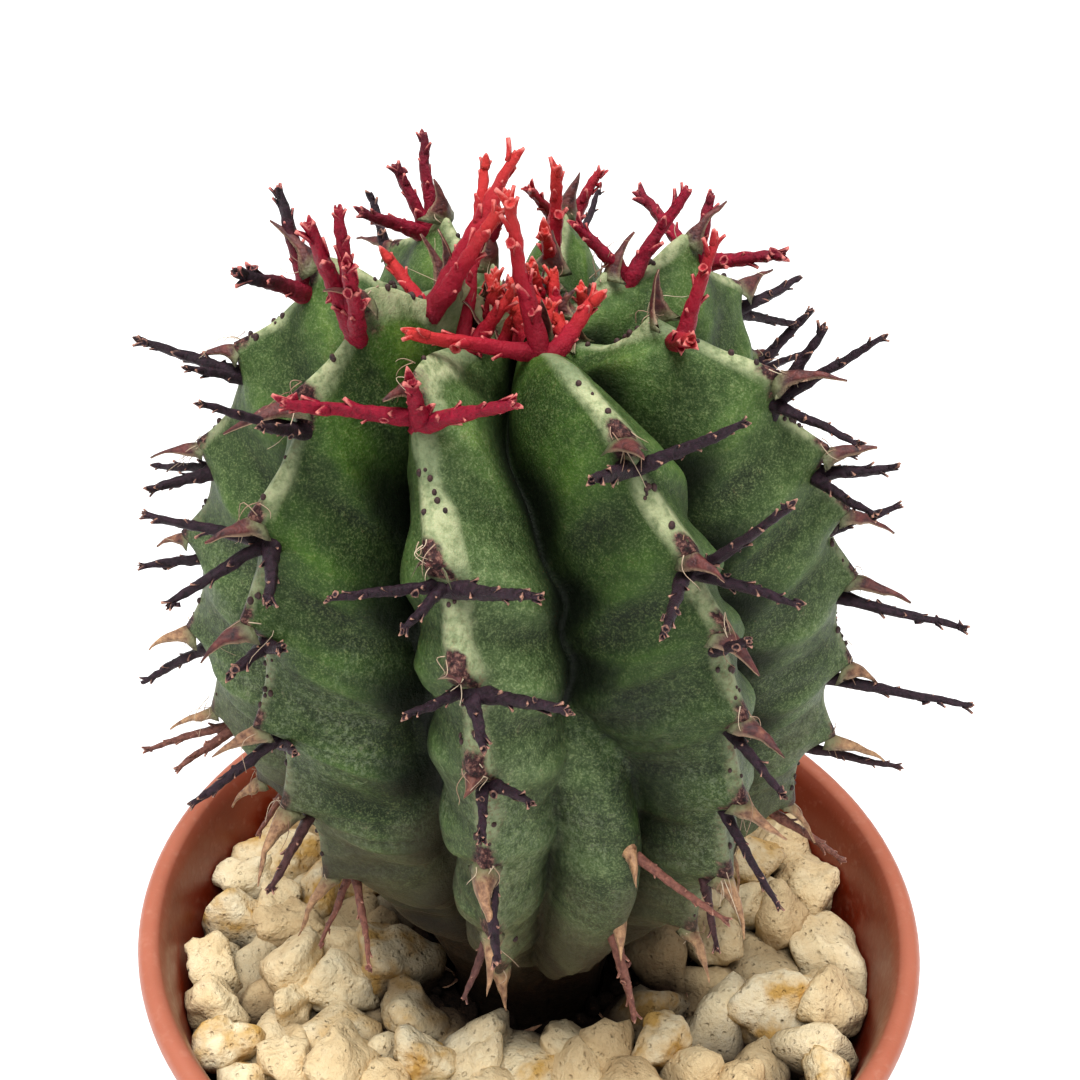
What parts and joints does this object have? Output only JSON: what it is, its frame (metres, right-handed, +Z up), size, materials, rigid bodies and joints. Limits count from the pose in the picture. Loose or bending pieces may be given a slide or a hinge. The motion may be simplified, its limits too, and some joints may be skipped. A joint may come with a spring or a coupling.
{
  "type": "potted succulent plant",
  "caption": "Small ribbed, spiny columnar succulent in a tapered plastic nursery pot, top-dressed with pale pumice stones.",
  "frame": {"origin": "centre of the pot's flat underside", "axes": "+Z up through the pot and the plant, -Y towards the plant's front as pictured, +X to the right as seen from the front"},
  "size_m": [0.055, 0.055, 0.1039],
  "materials": {
    "pot_plastic": "terracotta-coloured moulded plastic with a soft sheen",
    "soil": null,
    "pumice": "dull porous cream stone",
    "plant_skin": null
  },
  "bodies": {
    "root": {"pot": "pot_plastic", "potting_soil": "soil", "gravel": "pumice", "plant": "plant_skin"}
  },
  "joints": []
}
